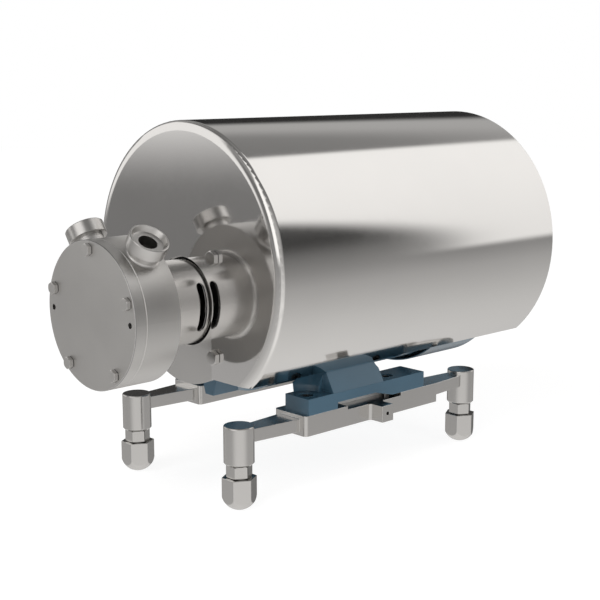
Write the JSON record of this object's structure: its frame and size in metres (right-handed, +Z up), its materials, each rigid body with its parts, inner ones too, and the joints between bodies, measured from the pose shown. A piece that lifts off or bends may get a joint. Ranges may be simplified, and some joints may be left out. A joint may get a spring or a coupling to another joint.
{
  "type": "close-coupled peripheral pump",
  "caption": "Shrouded close-coupled peripheral pump: bolted pump head with tilted union ports, mirror front plate, electric motor, cast rails and levelling feet.",
  "frame": {"origin": "on the floor under the middle of the bounding box", "axes": "+Z up, +Y along the shaft from the pump head to the motor's rear, +X to the right seen from the pump head"},
  "size_m": [0.345, 0.6364, 0.4455],
  "materials": {
    "pump_steel": "satin, fine blasted",
    "tube_steel": "turned and polished",
    "fastener_steel": "machined stainless",
    "shroud_steel": "polished along the curve",
    "mirror_steel": "mirror polished",
    "base_steel": "electropolished casting",
    "motor_blue": "blue-grey gloss paint",
    "screw_steel": "zinc plated",
    "shaft_steel": "ground steel",
    "channel_steel": "machined stainless",
    "core_steel": "laminated steel",
    "winding_copper": "lacquered copper",
    "seal_ceramic": "lapped ceramic",
    "seal_carbon": "carbon",
    "ring_rubber": "moulded rubber",
    "black_plastic": "moulded plastic"
  },
  "bodies": {
    "pump_and_motor": {"front_cover": "pump_steel", "pump_casing": "pump_steel", "motor_adapter": "tube_steel", "inlet_union": "tube_steel", "outlet_union": "tube_steel", "cover_bolts": "fastener_steel", "plate_bolts": "fastener_steel", "lock_nuts": "fastener_steel", "shroud_shell": "shroud_steel", "shroud_front_plate": "mirror_steel", "rail_left": "base_steel", "rail_right": "base_steel", "front_end_shield": "motor_blue", "motor_frame": "motor_blue", "rear_end_shield": "motor_blue", "fan_cowl": "motor_blue", "motor_foot_left": "motor_blue", "motor_foot_right": "motor_blue", "terminal_box": "motor_blue", "terminal_lid": "motor_blue", "foot_bolts": "screw_steel", "end_shield_screws": "screw_steel", "cowl_screws": "screw_steel", "lid_screws": "screw_steel", "front_bearing": "shaft_steel", "rear_bearing": "shaft_steel", "front_channel_ring": "channel_steel", "rear_channel_ring": "channel_steel", "stator_core": "core_steel", "stator_windings": "winding_copper", "seal_seat": "seal_ceramic", "casing_o_ring": "ring_rubber", "cable_gland": "black_plastic", "terminal_board": "black_plastic"},
    "rotor": {"impeller": "channel_steel", "impeller_washer": "shaft_steel", "impeller_nut": "shaft_steel", "pump_shaft": "shaft_steel", "coupling_key": "shaft_steel", "stub_set_screws": "shaft_steel", "seal_face": "seal_carbon", "seal_spring": "shaft_steel", "seal_collar": "shaft_steel", "rotor_core": "core_steel", "motor_shaft": "shaft_steel", "cooling_fan": "black_plastic"},
    "foot_front_left": {"levelling_foot_front_left": "base_steel"},
    "foot_front_right": {"levelling_foot_front_right": "base_steel"},
    "foot_rear_left": {"levelling_foot_rear_left": "base_steel"},
    "foot_rear_right": {"levelling_foot_rear_right": "base_steel"}
  },
  "joints": [
    {"name": "rotor_spin", "type": "hinge", "parent": "pump_and_motor", "child": "rotor", "pos_m": [0, -0.27585, 0.232], "axis": [0, 1, 0], "continuous": true},
    {"name": "foot_front_left_screw", "type": "slide", "parent": "pump_and_motor", "child": "foot_front_left", "axis": [0, 0, -1], "range_m": [0, 0.02]},
    {"name": "foot_front_right_screw", "type": "slide", "parent": "pump_and_motor", "child": "foot_front_right", "axis": [0, 0, -1], "range_m": [0, 0.02]},
    {"name": "foot_rear_left_screw", "type": "slide", "parent": "pump_and_motor", "child": "foot_rear_left", "axis": [0, 0, -1], "range_m": [0, 0.02]},
    {"name": "foot_rear_right_screw", "type": "slide", "parent": "pump_and_motor", "child": "foot_rear_right", "axis": [0, 0, -1], "range_m": [0, 0.02]}
  ]
}
